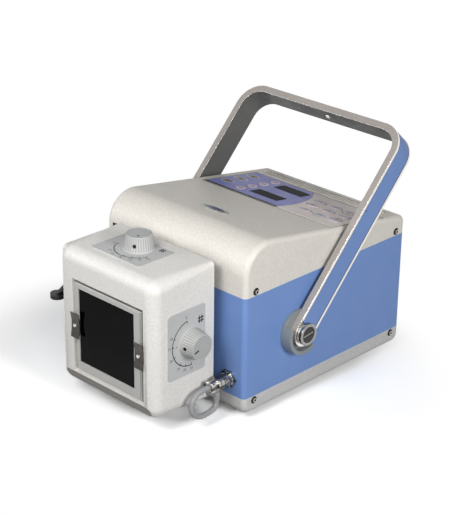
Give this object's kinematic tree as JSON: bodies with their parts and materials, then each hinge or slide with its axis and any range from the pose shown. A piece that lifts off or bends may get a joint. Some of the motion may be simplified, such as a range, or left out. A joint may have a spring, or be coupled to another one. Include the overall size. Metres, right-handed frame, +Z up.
{
  "type": "portable x-ray machine",
  "caption": "Portable x-ray generator: sloped body with a control panel, a beam collimator on a neck with a light window and shutter knobs, and a pivoting carry handle.",
  "frame": {"origin": "on the floor under the middle of the whole machine", "axes": "+Z up, -Y along the beam out of the collimator, +X to the right seen from the beam exit"},
  "size_m": [0.2546, 0.373, 0.2767],
  "materials": {
    "cover_white": "satin",
    "band_blue": "powder coated, satin",
    "tray_grey": "painted, satin",
    "housing_white": "satin",
    "rubber_black": "matte",
    "tank_metal": "plain",
    "steel": "brushed",
    "bright_metal": "polished",
    "neck_metal": "turned",
    "panel_film": "printed film",
    "display_dark": "gloss",
    "key_film": "printed film",
    "lamp_film": "gloss",
    "badge_blue": "gloss",
    "frame_grey": "satin",
    "window_dark": "gloss",
    "clip_bronze": "satin",
    "plate_grey": "printed film",
    "knob_grey": "satin",
    "knob_cap_grey": "satin",
    "lever_black": "satin",
    "handle_metal": "satin",
    "inlay_blue": "satin",
    "boss_grey": "satin",
    "cap_black": "satin",
    "connector_black": "satin",
    "cable_grey": "satin",
    "plate_metal": "brushed"
  },
  "bodies": {
    "machine": {"upper_cover": "cover_white", "middle_band": "band_blue", "lower_tray": "tray_grey", "rubber_feet": "rubber_black", "stand_plate": "steel", "tube_tank": "tank_metal", "control_panel": "panel_film", "display_windows": "display_dark", "panel_keys": "key_film", "indicator_lamps": "lamp_film", "cover_badge": "badge_blue", "collimator_housing": "housing_white", "collimator_rear_plate": "plate_metal", "collimator_neck": "neck_metal", "window_frame": "frame_grey", "window_glass": "window_dark", "filter_clip_left": "clip_bronze", "filter_clip_right": "clip_bronze", "top_scale_plate": "plate_grey", "side_scale_plate": "plate_grey", "top_knob": "knob_grey", "top_knob_cap": "knob_cap_grey", "side_knob": "knob_grey", "side_knob_cap": "knob_cap_grey", "side_cover": "housing_white", "thumb_lever": "lever_black", "link_socket": "bright_metal", "link_plug": "bright_metal", "cable_boot": "cable_grey", "link_cable": "cable_grey", "rear_connector_plate": "plate_metal", "power_inlet": "connector_black", "power_switch": "connector_black", "hand_switch_socket": "bright_metal", "left_pivot_boss": "boss_grey", "left_pivot_bolt": "bright_metal", "left_pivot_cap": "cap_black", "right_pivot_boss": "boss_grey", "right_pivot_bolt": "bright_metal", "right_pivot_cap": "cap_black"},
    "handle": {"handle_frame": "handle_metal", "handle_inlay": "inlay_blue"}
  },
  "joints": [
    {"name": "handle_pivot", "type": "hinge", "parent": "machine", "child": "handle", "pos_m": [0, -0.0028, 0.0828], "axis": [1, 0, 0], "range_deg": [-48, 53]}
  ]
}
